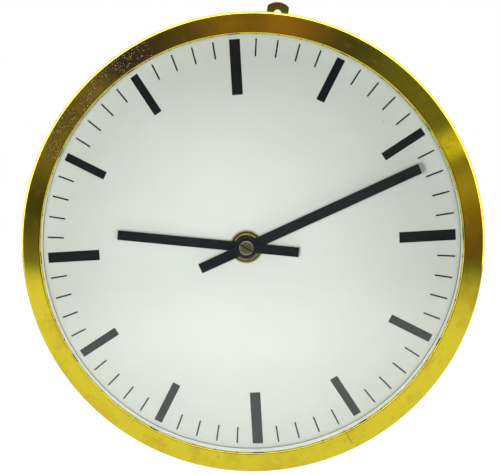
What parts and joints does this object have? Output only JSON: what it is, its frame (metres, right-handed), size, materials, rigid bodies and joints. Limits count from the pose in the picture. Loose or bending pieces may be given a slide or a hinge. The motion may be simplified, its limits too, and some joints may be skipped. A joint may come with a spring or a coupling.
{
  "type": "ship's deck clock",
  "caption": "Round brass bulkhead clock: push-fit bezel with flat glass, white bar-marked dial, straight black hands, impulse movement and fixing lugs.",
  "frame": {"origin": "centre of the circle of fixing holes, in the bulkhead plane that the lugs lie on", "axes": "+Z to twelve o'clock, +X to three o'clock, the dial faces -Y"},
  "size_m": [0.216, 0.061, 0.249],
  "materials": {
    "bezel_brass": "polished, tarnished brass",
    "case_brass": "spun brass, dull",
    "lug_brass": "sheet brass, dull",
    "hub_brass": "turned brass",
    "gear_brass": "cut brass",
    "plate_brass": "brushed brass",
    "screw_brass": "turned, greyed brass",
    "screw_steel": "plated steel",
    "arbor_steel": "turned steel",
    "pole_iron": "soft iron",
    "magnet": "sintered magnet",
    "coil_copper": "enamelled copper wire",
    "lead_plastic": "insulated lead",
    "brown_plastic": "moulded phenolic",
    "black_rubber": "moulded rubber",
    "clear_glass": "flat clear glass",
    "dial_white": "satin white paint",
    "wall_white": "cream-white paint",
    "black_ink": "printed black ink",
    "black_hand": "satin black paint"
  },
  "bodies": {
    "case": {"case_drum": "case_brass", "mounting_lugs": "lug_brass", "lug_rivets": "lug_brass", "cable_grommet": "black_rubber", "terminal_block": "brown_plastic", "terminal_screws": "screw_brass", "block_screw": "screw_steel", "dial_plate": "dial_white", "dial_support_ring": "case_brass", "dial_screws": "screw_brass", "spacer_ring": "wall_white", "dial_printing": "black_ink", "centre_bush": "hub_brass", "dial_washer": "hub_brass", "dial_nut": "hub_brass", "minute_wheel_stud": "arbor_steel", "stud_clip": "arbor_steel", "front_plate": "plate_brass", "back_plate": "plate_brass", "plate_pillars": "plate_brass", "pillar_screws": "screw_steel", "stator_spacers": "plate_brass", "stator_screws": "screw_steel", "stator_poles": "pole_iron", "coil_core": "pole_iron", "core_screws": "screw_steel", "coil_bobbin": "brown_plastic", "coil_winding": "coil_copper", "coil_leads": "lead_plastic"},
    "bezel": {"bezel_ring": "bezel_brass", "glass": "clear_glass", "glass_gasket": "black_rubber"},
    "minute_group": {"centre_arbor": "arbor_steel", "centre_wheel": "gear_brass", "friction_washer": "arbor_steel", "cannon_pinion": "arbor_steel", "minute_hand": "black_hand", "minute_hand_boss": "black_hand", "hand_screw": "screw_brass"},
    "hour_group": {"hour_pipe": "hub_brass", "hour_wheel": "gear_brass", "hour_hand_collet": "hub_brass", "hour_hand": "black_hand"},
    "motion_wheel": {"minute_wheel": "gear_brass", "minute_pinion": "arbor_steel"},
    "intermediate": {"intermediate_arbor": "arbor_steel", "intermediate_wheel": "gear_brass", "intermediate_pinion": "arbor_steel"},
    "rotor": {"rotor_arbor": "arbor_steel", "rotor_hub": "hub_brass", "rotor_magnet": "magnet", "rotor_pinion": "arbor_steel"}
  },
  "joints": [
    {"name": "bezel_pull", "type": "slide", "parent": "case", "child": "bezel", "axis": [0, -1, 0], "range_m": [0, 0.03]},
    {"name": "minute_hand_turn", "type": "hinge", "parent": "case", "child": "minute_group", "pos_m": [0, -0.046, 0], "axis": [0, 1, 0], "continuous": true},
    {"name": "hour_hand_turn", "type": "hinge", "parent": "case", "child": "hour_group", "pos_m": [0, -0.046, 0], "axis": [0, 1, 0], "continuous": true},
    {"name": "motion_wheel_turn", "type": "hinge", "parent": "case", "child": "motion_wheel", "pos_m": [0, -0.038, 0.012], "axis": [0, 1, 0], "continuous": true},
    {"name": "intermediate_turn", "type": "hinge", "parent": "case", "child": "intermediate", "pos_m": [0, -0.028, -0.0175], "axis": [0, 1, 0], "continuous": true},
    {"name": "rotor_turn", "type": "hinge", "parent": "case", "child": "rotor", "pos_m": [0, -0.024, -0.0325], "axis": [0, 1, 0], "continuous": true}
  ],
  "couplings": [
    {"joint": "hour_hand_turn", "follows": "minute_hand_turn", "ratio": 0.083333},
    {"joint": "motion_wheel_turn", "follows": "minute_hand_turn", "ratio": -0.33333},
    {"joint": "intermediate_turn", "follows": "minute_hand_turn", "ratio": -6},
    {"joint": "rotor_turn", "follows": "minute_hand_turn", "ratio": 30}
  ]
}
